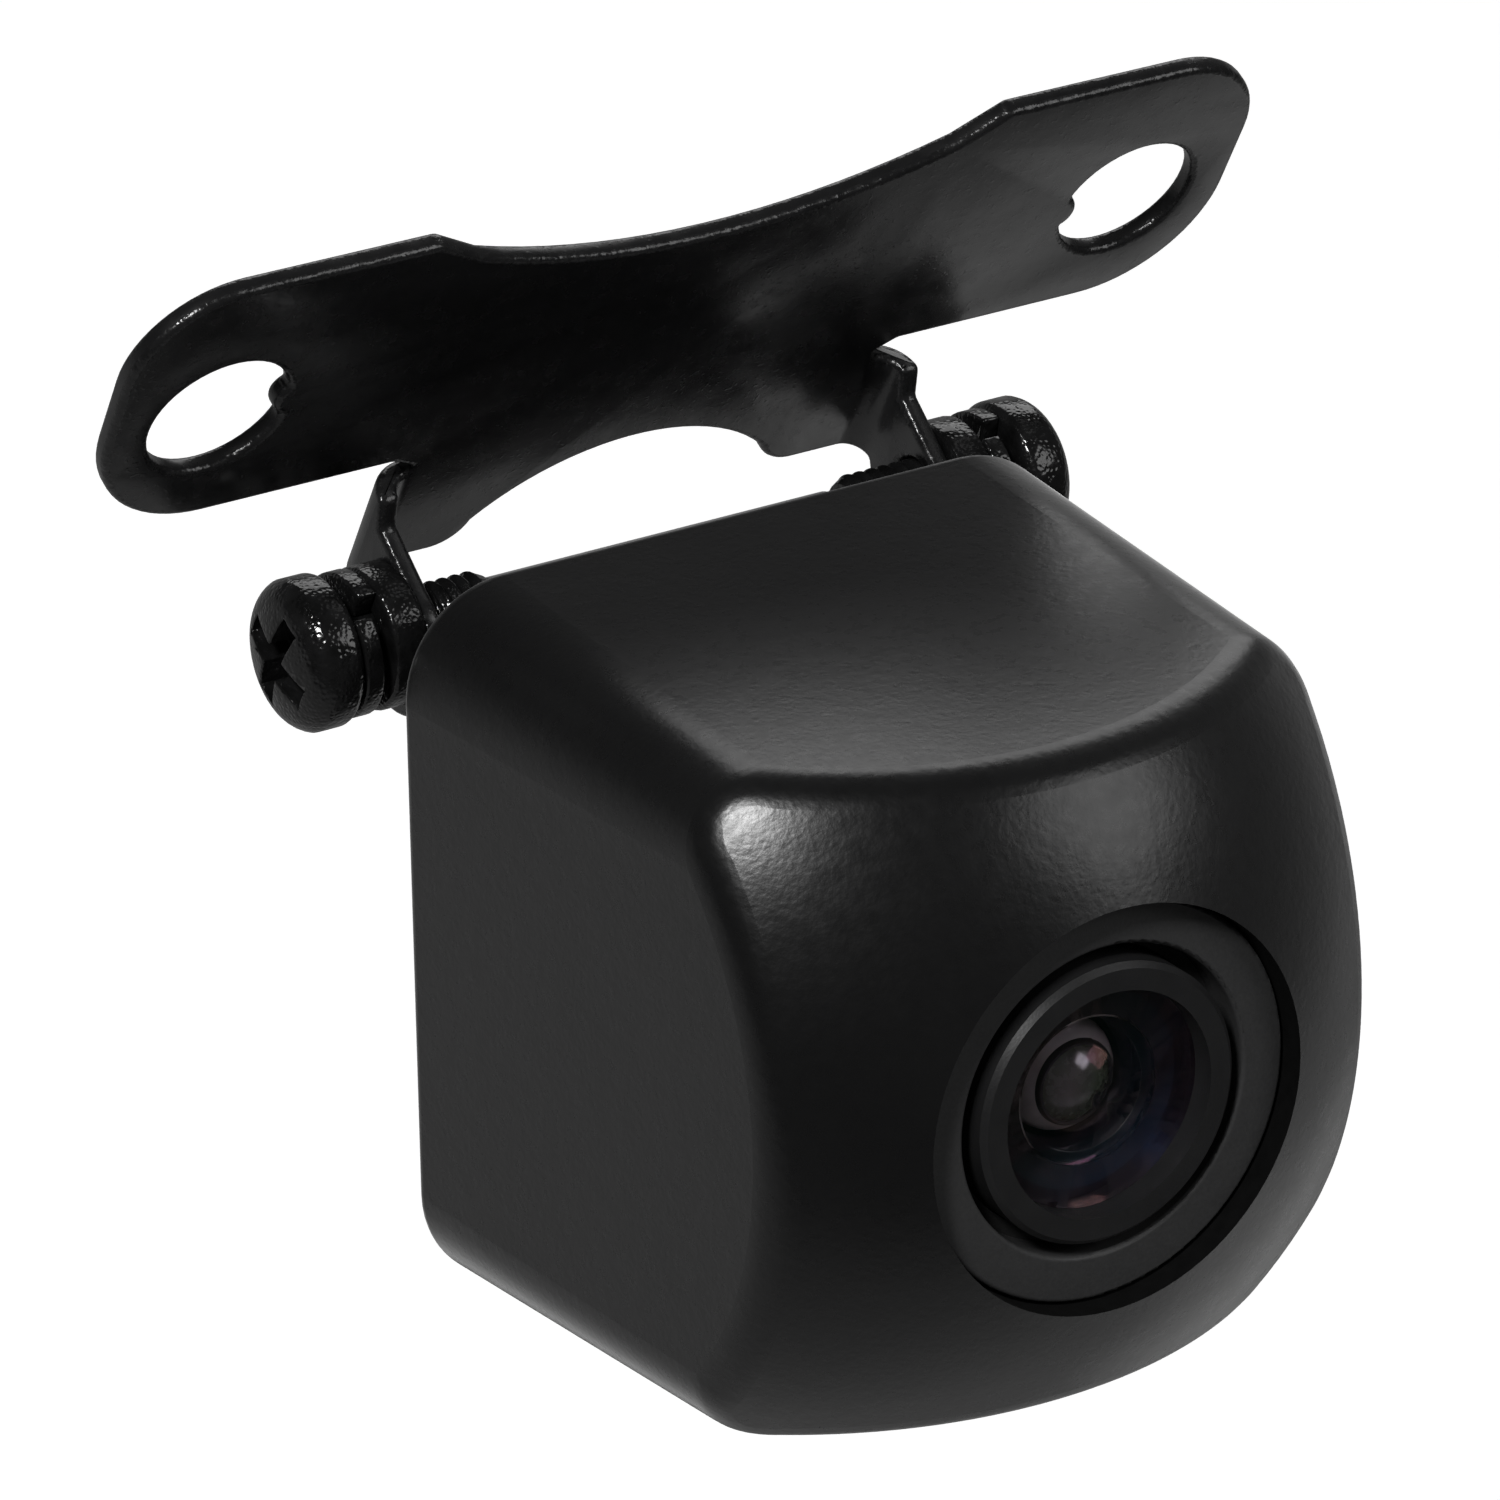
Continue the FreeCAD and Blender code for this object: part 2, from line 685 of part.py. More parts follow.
def make_cable_gland():
    body = new_body("cable_gland", CAMERA)
    collar = new_sketch(body, "XZ_Plane")
    draw_circle(collar, "0", "inlet_z", "inlet_flange")
    pad(body, collar, "inlet_out", reverse=True)
    neck = new_sketch(body, "XZ_Plane")
    draw_circle(neck, "0", "inlet_z", "inlet_rad")
    pad(body, neck, "cover_thick")
    inner = new_sketch(body, "XZ_Plane", "cover_thick")
    draw_circle(inner, "0", "inlet_z", "inlet_inner")
    pad(body, inner, "inlet_in - cover_thick")
    outer_rim = edge_names(body.Shape, lambda edge: edge.BoundBox.YMin > value("inlet_out") - 0.01)
    round_edges(body, outer_rim, "inlet_round")
    bore = new_sketch(body, "XZ_Plane", "-inlet_out")
    draw_circle(bore, "0", "inlet_z", "cable_rad")
    pocket(body, bore, "inlet_out + inlet_in", reverse=True)


# ---- Lens ----------------------------------------------------------------------------------------

def make_ring(label, back, front, inner, outer):
    """Plain round ring on the lens axis between two depths."""
    body = new_body(label, CAMERA)
    ring = new_sketch(body, "XZ_Plane", back)
    draw_circle(ring, "0", "0", inner)
    draw_circle(ring, "0", "0", outer)
    pad(body, ring, f"{front} - {back}")
    return body


def make_turned(label, points):
    """Body turned about the lens axis from an outline of (y, radius) points."""
    body = new_body(label, CAMERA)
    profile = new_sketch(body, "YZ_Plane")
    draw_outline(profile, points)
    revolve(body, profile, "H_Axis")


def make_lens_rings():
    ring = make_ring("lens_retaining_ring", "ring_back", "ring_front", "ring_inner", "ring_outer")
    face = -value("ring_front")
    front_edges = edge_names(ring.Shape, lambda edge: abs(edge.BoundBox.YMax - face) < 1e-3)
    round_edges(ring, front_edges, "ring_edge")
    make_ring("lens_seal_ring", "mouth_seat", "ring_back", "seal_inner", "ring_outer")
    make_ring("lens_spacer_ring", "bezel_step", "front_glass_back", "spacer_ring_bore", "front_glass_rad")
    make_ring("aperture_stop", "stop_back", "middle_back", "stop_bore", "element_rad")


def make_lens_barrel():
    make_turned("lens_barrel", [
        ("-barrel_front", "bezel_inner"),
        ("-barrel_front", "barrel_rad - rim_chamfer"),
        ("-barrel_front + rim_chamfer", "barrel_rad"),
        ("-barrel_step", "barrel_rad"),
        ("-barrel_step", "thread_rad"),
        ("-barrel_back", "thread_rad"),
        ("-barrel_back", "exit_rad"),
        ("-bore_step", "exit_rad"),
        ("-bore_step", "bore_rad"),
        ("-bezel_step", "bore_rad"),
        ("-bezel_step", "bezel_inner"),
    ])


def make_lens_elements():
    make_turned("front_lens_element", [
        ("-front_glass_tip", "0"),
        ("-front_glass_edge", "front_glass_rad", "front_glass_curve", 1),
        ("-front_glass_back", "front_glass_rad"),
        ("-front_glass_back", "front_bowl_rad"),
        ("-front_bowl_tip", "0", "front_bowl_curve", -1),
    ])
    make_turned("middle_lens_element", [
        ("-middle_tip", "0"),
        ("-bezel_step", "middle_face", "middle_curve", 1),
        ("-bezel_step", "element_rad"),
        ("-middle_back", "element_rad"),
        ("-middle_back", "0"),
    ])
    make_turned("rear_lens_element", [
        ("-stop_back", "0"),
        ("-stop_back", "element_rad"),
        ("-bore_step", "element_rad"),
        ("-bore_step", "rear_face"),
        ("-rear_tip", "0", "rear_curve", 1),
    ])


def make_infrared_filter():
    body = new_body("infrared_filter", CAMERA)
    disc = new_sketch(body, "XZ_Plane", "filter_back")
    draw_circle(disc, "0", "0", "filter_rad")
    pad(body, disc, "filter_front - filter_back")


def make_lens_holder():
    body = new_body("lens_holder", CAMERA)
    base = new_sketch(body, "XZ_Plane", "board_seat")
    draw_rectangle(base, "-holder_half", "holder_half", "-holder_half", "holder_half")
    pad(body, base, "holder_base - board_seat")
    tube = new_sketch(body, "XZ_Plane", "board_seat")
    draw_circle(tube, "0", "0", "holder_rad")
    pad(body, tube, "holder_front - board_seat")
    chamber = new_sketch(body, "XZ_Plane", "board_seat")
    draw_circle(chamber, "0", "0", "chamber_rad")
    pocket(body, chamber, "filter_front - board_seat", reverse=True)
    window = new_sketch(body, "XZ_Plane", "board_seat")
    draw_circle(window, "0", "0", "holder_window")
    pocket(body, window, "holder_front - board_seat", reverse=True)
    bore = new_sketch(body, "XZ_Plane", "holder_step")
    draw_circle(bore, "0", "0", "holder_bore")
    pocket(body, bore, "holder_front - holder_step", reverse=True)


# ---- Electronics ---------------------------------------------------------------------------------

def make_board(label, back, thick):
    """Eight-sided circuit board with four screw holes; it reaches forwards from its back face."""
    body = new_body(label, CAMERA)
    outline = new_sketch(body, "XZ_Plane", back)
    draw_octagon(outline, "board_half", "board_flat")
    draw_four(outline, "screw_x", "screw_z", "board_hole_rad")
    pad(body, outline, thick)


def make_block(label, back, thick, left, right, low, high):
    body = new_body(label, CAMERA)
    outline = new_sketch(body, "XZ_Plane", back)
    draw_rectangle(outline, left, right, low, high)
    pad(body, outline, thick)


def make_electronics():
    make_board("sensor_board", "board_seat - board_thick", "board_thick")
    make_board("power_board", "power_back", "power_front - power_back")
    make_block("image_sensor", "board_seat", "sensor_front - board_seat",
               "-sensor_wide", "sensor_wide", "-sensor_high", "sensor_high")
    make_block("image_processor", "board_seat - board_thick - processor_thick", "processor_thick",
               "-processor_half", "processor_half", "processor_low", "processor_high")
    make_block("board_connector", "power_front", "board_seat - board_thick - power_front",
               "-connector_wide", "connector_wide", "connector_low", "connector_high")
    make_block("voltage_regulator", "power_front", "regulator_thick",
               "regulator_left", "regulator_right", "regulator_low", "regulator_high")


def make_board_spacers():
    body = new_body("board_spacers", CAMERA)
    tubes = new_sketch(body, "XZ_Plane", "power_front")
    draw_four(tubes, "screw_x", "screw_z", "spacer_rad")
    draw_four(tubes, "screw_x", "screw_z", "board_hole_rad")
    pad(body, tubes, "board_seat - board_thick - power_front")


def make_board_screws():
    body = new_body("board_screws", CAMERA)
    heads = new_sketch(body, "XZ_Plane", "board_head_top")
    draw_four(heads, "screw_x", "screw_z", "board_head_rad")
    pad(body, heads, "power_back - board_head_top")
    shanks = new_sketch(body, "XZ_Plane", "power_back")
    draw_four(shanks, "screw_x", "screw_z", "board_screw_rad")
    pad(body, shanks, "board_screw_end - power_back")


make_bracket()
make_plain_washers()
make_spring_washers()
make_pivot_screws()
make_front_housing()
make_rear_cover()
make_rear_cover_gasket()
make_rear_cover_screws()
make_cable_gland()
make_lens_rings()
make_lens_barrel()
make_lens_elements()
make_infrared_filter()
make_lens_holder()
make_electronics()
make_board_spacers()
make_board_screws()

for body, home in homes:
    body.Placement = home
doc.recompute()
for item in doc.Objects:
    if "Invalid" in item.State or "Error" in item.State:
        raise RuntimeError(f"{item.Label}: {item.State}")
os.makedirs("parts", exist_ok=True)
for item in parts:
    if item.Shape.isNull() or not item.Shape.isValid():
        raise RuntimeError(f"{item.Label}: bad shape")
    item.Shape.exportStep(f"parts/{item.Label}.step")
    print(f"{item.Label}: {len(item.Shape.Solids)} solid(s), {item.Shape.Volume:.2f} mm3")
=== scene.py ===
"""Backup camera on a two-winged bracket: materials, soft studio light and the camera."""
import json
import math

import bmesh
import bpy
from mathutils import Matrix, Vector


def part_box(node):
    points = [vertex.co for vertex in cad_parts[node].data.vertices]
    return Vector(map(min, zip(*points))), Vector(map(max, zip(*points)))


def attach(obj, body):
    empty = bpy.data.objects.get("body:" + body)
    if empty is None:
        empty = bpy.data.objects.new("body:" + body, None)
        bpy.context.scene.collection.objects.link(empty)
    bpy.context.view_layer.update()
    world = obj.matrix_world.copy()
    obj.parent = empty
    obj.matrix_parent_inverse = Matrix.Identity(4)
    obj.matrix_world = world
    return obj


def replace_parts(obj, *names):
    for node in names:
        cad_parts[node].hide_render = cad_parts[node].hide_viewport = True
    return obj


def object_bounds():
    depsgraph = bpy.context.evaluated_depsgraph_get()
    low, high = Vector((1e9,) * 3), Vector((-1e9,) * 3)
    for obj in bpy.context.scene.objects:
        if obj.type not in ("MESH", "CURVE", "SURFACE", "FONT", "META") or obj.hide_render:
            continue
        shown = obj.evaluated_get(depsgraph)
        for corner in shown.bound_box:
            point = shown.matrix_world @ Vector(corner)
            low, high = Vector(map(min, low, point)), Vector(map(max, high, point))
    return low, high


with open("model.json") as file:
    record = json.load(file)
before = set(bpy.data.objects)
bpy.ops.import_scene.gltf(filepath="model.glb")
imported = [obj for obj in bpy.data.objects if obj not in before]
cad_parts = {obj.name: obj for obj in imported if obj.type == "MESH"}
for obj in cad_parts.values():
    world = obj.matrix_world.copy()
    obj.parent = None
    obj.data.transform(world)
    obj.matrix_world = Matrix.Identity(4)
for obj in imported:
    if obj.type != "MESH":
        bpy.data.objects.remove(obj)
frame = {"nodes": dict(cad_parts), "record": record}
nodes = frame["nodes"]
cad_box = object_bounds()

MM = 0.001


# ---- Node helpers --------------------------------------------------------------------------------

class Shader:
    """A material with a Principled shader and short calls for the nodes that feed it."""

    def __init__(self, name, **settings):
        self.material = bpy.data.materials.new(name)
        self.material.use_nodes = True
        self.tree = self.material.node_tree
        self.shader = self.tree.nodes["Principled BSDF"]
        coordinates = self.tree.nodes.new("ShaderNodeTexCoord")
        self.place = coordinates.outputs["Object"]
        self.height = None
        for socket, number in settings.items():
            self.shader.inputs[socket.replace("_", " ")].default_value = number

    def add(self, kind, inputs=None, **properties):
        node = self.tree.nodes.new(kind)
        for key, content in properties.items():
            setattr(node, key, content)
        for socket, content in (inputs or {}).items():
            if isinstance(content, bpy.types.NodeSocket):
                self.tree.links.new(content, node.inputs[socket])
            else:
                node.inputs[socket].default_value = content
        return node

    def noise(self, size, detail=3.0, roughness=0.5, stretch=(1, 1, 1)):
        """Noise from 0 to 1 whose lumps are about `size` metres across."""
        mapping = self.add("ShaderNodeMapping", {"Vector": self.place, "Scale": stretch})
        texture = self.add("ShaderNodeTexNoise", {
            "Vector": mapping.outputs["Vector"], "Scale": 1 / size, "Detail": detail,
            "Roughness": roughness})
        return texture.outputs["Fac"]

    def cells(self, size):
        """Distance to the nearest cell centre for cells about `size` metres across."""
        texture = self.add("ShaderNodeTexVoronoi", {"Vector": self.place, "Scale": 1 / size})
        return texture.outputs["Distance"]

    def spread(self, source, low, high, to_low, to_high):
        """Source mapped from low..high to to_low..to_high, clamped."""
        return self.add("ShaderNodeMapRange", {
            "Value": source, "From Min": low, "From Max": high, "To Min": to_low,
            "To Max": to_high}).outputs["Result"]

    def tint(self, source, dark, light):
        """Colour from dark to light by a 0..1 source, into the base colour."""
        mix = self.add("ShaderNodeMix", data_type="RGBA")
        self.tree.links.new(source, mix.inputs["Factor"])
        mix.inputs["A"].default_value = (*dark, 1)
        mix.inputs["B"].default_value = (*light, 1)
        self.tree.links.new(mix.outputs["Result"], self.shader.inputs["Base Color"])

    def vary_roughness(self, source):
        self.tree.links.new(source, self.shader.inputs["Roughness"])

    def bump(self, source, depth):
        """Adds relief `depth` metres deep on top of any earlier relief."""
        node = self.add("ShaderNodeBump", {"Height": source, "Distance": depth})
        if self.height is not None:
            self.tree.links.new(self.height, node.inputs["Normal"])
        self.height = node.outputs["Normal"]
        self.tree.links.new(self.height, self.shader.inputs["Normal"])


# ---- Materials -----------------------------------------------------------------------------------

def powder_coat():
    """Satin black powder coat: fine grain over orange peel, with wide patches of tone."""
    made = Shader("housing_coat", Roughness=0.31, Specular_IOR_Level=0.45, Sheen_Weight=0.5,
                  Sheen_Roughness=0.35)
    grain = made.noise(0.22 * MM, detail=2.0)
    peel = made.noise(0.9 * MM, detail=1.0)
    patches = made.noise(7 * MM, detail=2.0)
    made.tint(made.spread(patches, 0.3, 0.7, 0, 1), (0.005, 0.005, 0.0052), (0.007, 0.007, 0.0072))
    made.vary_roughness(made.spread(made.noise(0.5 * MM), 0.3, 0.7, 0.26, 0.31))
    made.bump(peel, 0.008 * MM)
    made.bump(grain, 0.008 * MM)
    return made.material


def bracket_paint():
    """Semi-gloss black paint on the flat of the sheet, gently uneven with fine nibs."""
    made = Shader("bracket_paint", Roughness=0.24, IOR=1.62)
    patches = made.noise(5 * MM, detail=2.0)
    nibs = made.spread(made.noise(0.16 * MM, detail=1.0), 0.62, 0.8, 0, 1)
    made.tint(made.spread(patches, 0.3, 0.7, 0, 1), (0.006, 0.006, 0.0063), (0.010, 0.010, 0.0105))
    made.vary_roughness(made.spread(made.noise(0.8 * MM), 0.3, 0.7, 0.20, 0.30))
    made.bump(made.noise(3.5 * MM, detail=1.0), 0.05 * MM)
    made.bump(made.noise(0.5 * MM, detail=2.0), 0.006 * MM)
    made.bump(nibs, 0.004 * MM)
    return made.material


def edge_paint():
    """The same paint where it has run to the sheet's edges: thick, glossy and beaded."""
    made = Shader("bracket_edge_paint", Roughness=0.2, IOR=1.5)
    beads = made.noise(0.22 * MM, detail=2.0)
    made.tint(made.spread(made.noise(1.5 * MM), 0.3, 0.7, 0, 1), (0.008, 0.008, 0.0083),
              (0.014, 0.014, 0.0145))
    made.vary_roughness(made.spread(beads, 0.35, 0.65, 0.14, 0.32))
    made.bump(made.noise(1.2 * MM, detail=2.0), 0.06 * MM)
    made.bump(beads, 0.035 * MM)
    return made.material


def black_with_painted_plum_reflection():
    """Blackened ring behind the front glass; its plum cast is painted reflection of the coated
    glass.
    """
    made = Shader("black_with_painted_plum_reflection", Roughness=0.4, IOR=1.5)
    patches = made.noise(1.6 * MM, detail=2.0)
    # The plum tint over the black is painted reflection
    made.tint(made.spread(patches, 0.35, 0.65, 0, 1), (0.016, 0.011, 0.014), (0.026, 0.015, 0.020))
    made.vary_roughness(made.spread(made.noise(0.3 * MM), 0.3, 0.7, 0.35, 0.5))
    made.bump(made.noise(0.1 * MM), 0.003 * MM)
    return made.material


def cell_grey():
    """Satin inner cell that carries the small lens."""
    made = Shader("cell_grey", Roughness=0.4, IOR=1.5)
    grain = made.noise(0.1 * MM, detail=2.0)
    made.tint(made.spread(made.noise(0.9 * MM), 0.3, 0.7, 0, 1), (0.50, 0.48, 0.46),
              (0.66, 0.64, 0.62))
    made.vary_roughness(made.spread(grain, 0.3, 0.7, 0.35, 0.5))
    made.bump(grain, 0.003 * MM)
    return made.material


def small_lens_painted_reflection():
    """Deep lens drawn opaque: its dark green clouding to warm grey is painted reflection of the
    lens coating, under a clear polished coat.
    """
    made = Shader("small_lens_painted_reflection", Roughness=0.25, IOR=1.6, Coat_Weight=1.0,
                  Coat_Roughness=0.02)
    reflection_cloud = made.noise(2.2 * MM, detail=1.0)
    # Green and warm grey clouds are painted reflection, not the glass's own colour
    made.tint(made.spread(reflection_cloud, 0.42, 0.62, 0, 1), (0.055, 0.085, 0.045), (0.100, 0.095, 0.085))
    made.vary_roughness(made.spread(made.noise(0.3 * MM), 0.3, 0.7, 0.2, 0.32))
    return made.material


def fastener_black():
    """Gloss black plating on steel, pitted and uneven so that highlights break into specks."""
    made = Shader("fastener_black", Roughness=0.15, IOR=1.48)
    pits = made.spread(made.cells(0.16 * MM), 0.1, 0.6, 0, 1)
    patches = made.noise(0.7 * MM, detail=3.0)
    made.tint(made.spread(patches, 0.3, 0.7, 0, 1), (0.004, 0.004, 0.004), (0.010, 0.010, 0.0103))
    made.vary_roughness(made.spread(patches, 0.35, 0.65, 0.07, 0.18))
    made.bump(patches, 0.035 * MM)
    made.bump(pits, 0.012 * MM)
    return made.material


def ring_matte():
    """Matte black moulded ring with a fine spark-eroded grain."""
    made = Shader("ring_matte", Roughness=0.55, IOR=1.5)
    grain = made.noise(0.12 * MM, detail=2.0)
    made.tint(made.spread(grain, 0.3, 0.7, 0, 1), (0.034, 0.034, 0.0345), (0.042, 0.042, 0.0425))
    made.vary_roughness(made.spread(made.noise(0.6 * MM), 0.3, 0.7, 0.5, 0.62))
    made.bump(grain, 0.006 * MM)
    return made.material


def barrel_black():
    """Black anodised aluminium with faint turning marks."""
    made = Shader("barrel_black", Roughness=0.38, IOR=1.5)
    grain = made.noise(0.08 * MM, detail=2.0)
    made.tint(made.spread(made.noise(1.5 * MM), 0.3, 0.7, 0, 1), (0.012, 0.012, 0.0125),
              (0.017, 0.017, 0.0175))
    made.vary_roughness(made.spread(grain, 0.3, 0.7, 0.33, 0.45))
    made.bump(grain, 0.004 * MM)
    return made.material


def seal_rubber():
    """Matte black moulded rubber."""
    made = Shader("seal_rubber", Roughness=0.7, IOR=1.45)
    grain = made.noise(0.1 * MM, detail=3.0)
    made.tint(made.spread(made.noise(1.0 * MM), 0.3, 0.7, 0, 1), (0.012, 0.012, 0.012),
              (0.02, 0.02, 0.02))
    made.vary_roughness(made.spread(made.noise(0.7 * MM), 0.3, 0.7, 0.62, 0.8))
    made.bump(grain, 0.008 * MM)
    return made.material


def small_screws():
    """Blackened steel with brushed streaks."""
    made = Shader("small_screws", Roughness=0.3, Metallic=1.0)
    streaks = made.noise(0.12 * MM, detail=2.0, stretch=(1, 6, 1))
    made.tint(made.spread(streaks, 0.3, 0.7, 0, 1), (0.10, 0.10, 0.10), (0.22, 0.22, 0.22))
    made.vary_roughness(made.spread(streaks, 0.3, 0.7, 0.25, 0.42))
    made.bump(streaks, 0.004 * MM)
    return made.material


def coated_glass():
    """Lens glass with a purple anti-reflection coating and a trace of haze."""
    made = Shader("coated_glass", Roughness=0.0, IOR=1.52, Transmission_Weight=1.0,
                  Specular_Tint=(0.5, 0.48, 0.8, 1), Thin_Film_Thickness=420.0, Thin_Film_IOR=1.38)
    haze = made.noise(0.7 * MM, detail=3.0)
    made.tint(made.spread(haze, 0.3, 0.7, 0, 1), (0.90, 0.84, 0.92), (0.94, 0.90, 0.95))
    made.vary_roughness(made.spread(haze, 0.55, 0.8, 0.0, 0.04))
    return made.material


def filter_glass():
    """Infrared filter: flat glass with a faint cyan cast."""
    made = Shader("filter_glass", Roughness=0.0, IOR=1.5, Transmission_Weight=1.0)
    haze = made.noise(0.7 * MM, detail=3.0)
    made.tint(made.spread(haze, 0.3, 0.7, 0, 1), (0.62, 0.86, 0.88), (0.70, 0.90, 0.92))
    made.vary_roughness(made.spread(haze, 0.4, 0.8, 0.0, 0.03))
    return made.material


def board_green():
    """Green solder mask over the weave of a glass-fibre board, with copper tracks under it."""
    made = Shader("board_green", Roughness=0.3, IOR=1.5)
    tracks = made.spread(made.cells(0.9 * MM), 0.25, 0.3, 0, 1)
    made.tint(tracks, (0.012, 0.11, 0.045), (0.02, 0.19, 0.07))
    weave = made.noise(0.25 * MM, detail=1.0, stretch=(1, 1, 3))
    made.vary_roughness(made.spread(weave, 0.3, 0.7, 0.25, 0.4))
    made.bump(tracks, 0.02 * MM)
    return made.material


def plain_plastic(name, dark, light, roughness):
    """Moulded plastic with a fine grain and slight colour variation."""
    made = Shader(name, Roughness=roughness, IOR=1.5)
    grain = made.noise(0.12 * MM, detail=2.0)
    made.tint(made.spread(made.noise(0.8 * MM), 0.3, 0.7, 0, 1), dark, light)
    made.vary_roughness(made.spread(grain, 0.3, 0.7, roughness - 0.06, roughness + 0.06))
    made.bump(grain, 0.005 * MM)
    return made.material


def brass_parts():
    """Turned brass, slightly dulled."""
    made = Shader("brass_parts", Roughness=0.3, Metallic=1.0)
    rings = made.noise(0.1 * MM, detail=2.0, stretch=(1, 5, 1))
    made.tint(made.spread(made.noise(0.9 * MM), 0.3, 0.7, 0, 1), (0.60, 0.44, 0.16),
              (0.75, 0.58, 0.25))
    made.vary_roughness(made.spread(rings, 0.3, 0.7, 0.22, 0.4))
    made.bump(rings, 0.004 * MM)
    return made.material


MATERIALS = {
    "bracket_paint": bracket_paint(),
    "fastener_black": fastener_black(),
    "housing_coat": powder_coat(),
    "seal_rubber": seal_rubber(),
    "small_screws": small_screws(),
    "ring_matte": ring_matte(),
    "barrel_black": barrel_black(),
    "coated_glass": coated_glass(),
    "filter_glass": filter_glass(),
    "holder_plastic": plain_plastic(
        "holder_plastic", (0.012, 0.012, 0.012), (0.02, 0.02, 0.02), 0.5),
    "board_green": board_green(),
    "chip_black": plain_plastic("chip_black", (0.018, 0.018, 0.02), (0.03, 0.03, 0.034), 0.35),
    "connector_white": plain_plastic(
        "connector_white", (0.72, 0.69, 0.60), (0.80, 0.78, 0.70), 0.45),
    "brass_parts": brass_parts(),
}
for piece in frame["record"]["subparts"]:
    node = nodes[piece["node"]]
    node.data.materials.clear()
    node.data.materials.append(MATERIALS[piece["material_slot"]])


# ---- Rounded copies of the bracket and its fasteners ---------------------------------------------

SHARP_ANGLE = math.radians(28)
FLAT_ANGLE = math.radians(0.6)
SMOOTH_ANGLE = math.radians(40)
WELD = 1e-6


def link(name, mesh, body, *materials):
    """New object for a mesh, with its materials, riding on the named body."""
    piece = bpy.data.objects.new(name, mesh)
    bpy.context.scene.collection.objects.link(piece)
    for material in materials:
        mesh.materials.append(material)
    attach(piece, body)
    return piece


def rounded_copy(name, node_name, body, radius, segments, *materials):
    """The node's own shape with every sharp edge rounded; the rounding takes the last material."""
    work = bmesh.new()
    work.from_mesh(nodes[node_name].data)
    bmesh.ops.remove_doubles(work, verts=work.verts, dist=WELD)
    bmesh.ops.dissolve_limit(work, angle_limit=FLAT_ANGLE, verts=work.verts, edges=work.edges)
    sharp = [edge for edge in work.edges
             if len(edge.link_faces) == 2 and edge.calc_face_angle() > SHARP_ANGLE]
    bmesh.ops.bevel(work, geom=sharp, offset=radius, offset_type="OFFSET", segments=segments,
                    profile=0.5, affect="EDGES", clamp_overlap=False, material=len(materials) - 1)
    bmesh.ops.triangulate(work, faces=[face for face in work.faces if len(face.verts) > 4],
                          ngon_method="EAR_CLIP")
    for face in work.faces:
        face.smooth = True
    mesh = bpy.data.meshes.new(name)
    work.to_mesh(mesh)
    work.free()
    mesh.set_sharp_from_angle(angle=SMOOTH_ANGLE)
    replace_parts(link(name, mesh, body, *materials), node_name)


# Piece, its CAD node, radius of the rounding in mm, steps across it, materials
ROUNDED = (
    ("bracket_rounded", "mounting_bracket", 0.22, 4, (MATERIALS["bracket_paint"], edge_paint())),
    ("plain_washers_rounded", "plain_washers", 0.16, 3, (MATERIALS["fastener_black"],)),
    ("spring_washers_rounded", "spring_washers", 0.10, 3, (MATERIALS["fastener_black"],)),
    ("pivot_screws_rounded", "pivot_screws", 0.05, 2, (MATERIALS["fastener_black"],)),
)
for piece_name, cad_name, radius_mm, steps, coats in ROUNDED:
    rounded_copy(piece_name, cad_name, "bracket", radius_mm * MM, steps, *coats)


# ---- Inside the lens -----------------------------------------------------------------------------

TURN_STEPS = 96
TURNED_WELD = 1e-7
TURNED_SMOOTH_ANGLE = math.radians(35)

# Outlines turned about the lens axis: (mm ahead of the stop's centre, mm from the axis)
CELL_OUTLINE = [(1.7, 2.19), (1.95, 2.05), (2.45, 1.56), (2.3, 1.50), (0.4, 1.5), (0.4, 2.19)]
LIP_OUTLINE = [(2.4, 1.60), (2.55, 1.56), (2.62, 1.48), (2.58, 1.38), (2.3, 1.36), (2.2, 1.50)]
DOME_TIP = 2.95
DOME_EDGE = 2.5
DOME_BASE = 2.2
DOME_RADIUS = 1.38
DOME_STEPS = 12

# Mouth wall of the front housing, which gets painted shade: where it starts ahead of the stop, and
# the radii it lies between
MOUTH_START = 1.5 * MM
MOUTH_INSIDE = 6.3 * MM
MOUTH_OUTSIDE = 6.68 * MM


def centre_of(node_name):
    low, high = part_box(node_name)
    return (Vector(low) + Vector(high)) / 2


stop_centre = centre_of("aperture_stop")
lens_forward = (stop_centre - centre_of("infrared_filter")).normalized()
lens_up = lens_forward.cross(Vector((1, 0, 0))) * -1


def lens_point(ahead, radius, angle):
    """Point `ahead` mm in front of the stop's centre and `radius` mm from the lens axis."""
    across = Vector((1, 0, 0)) * math.cos(angle) + lens_up * math.sin(angle)
    return stop_centre + (lens_forward * ahead + across * radius) * MM


def turned(name, profile, material):
    """Solid of revolution about the lens axis from a closed loop of (ahead, radius) points."""
    points, faces = [], []
    for step in range(TURN_STEPS):
        angle = 2 * math.pi * step / TURN_STEPS
        points += [lens_point(ahead, radius, angle) for ahead, radius in profile]
    count = len(profile)
    for step in range(TURN_STEPS):
        here, there = step * count, (step + 1) % TURN_STEPS * count
        for index in range(count):
            after = (index + 1) % count
            faces.append((here + index, here + after, there + after, there + index))
    mesh = bpy.data.meshes.new(name)
    mesh.from_pydata(points, [], faces)
    work = bmesh.new()
    work.from_mesh(mesh)
    bmesh.ops.remove_doubles(work, verts=work.verts, dist=TURNED_WELD)
    bmesh.ops.recalc_face_normals(work, faces=work.faces)
    for face in work.faces:
        face.smooth = True
    work.to_mesh(mesh)
    work.free()
    mesh.set_sharp_from_angle(angle=TURNED_SMOOTH_ANGLE)
    return link(name, mesh, "camera", material)


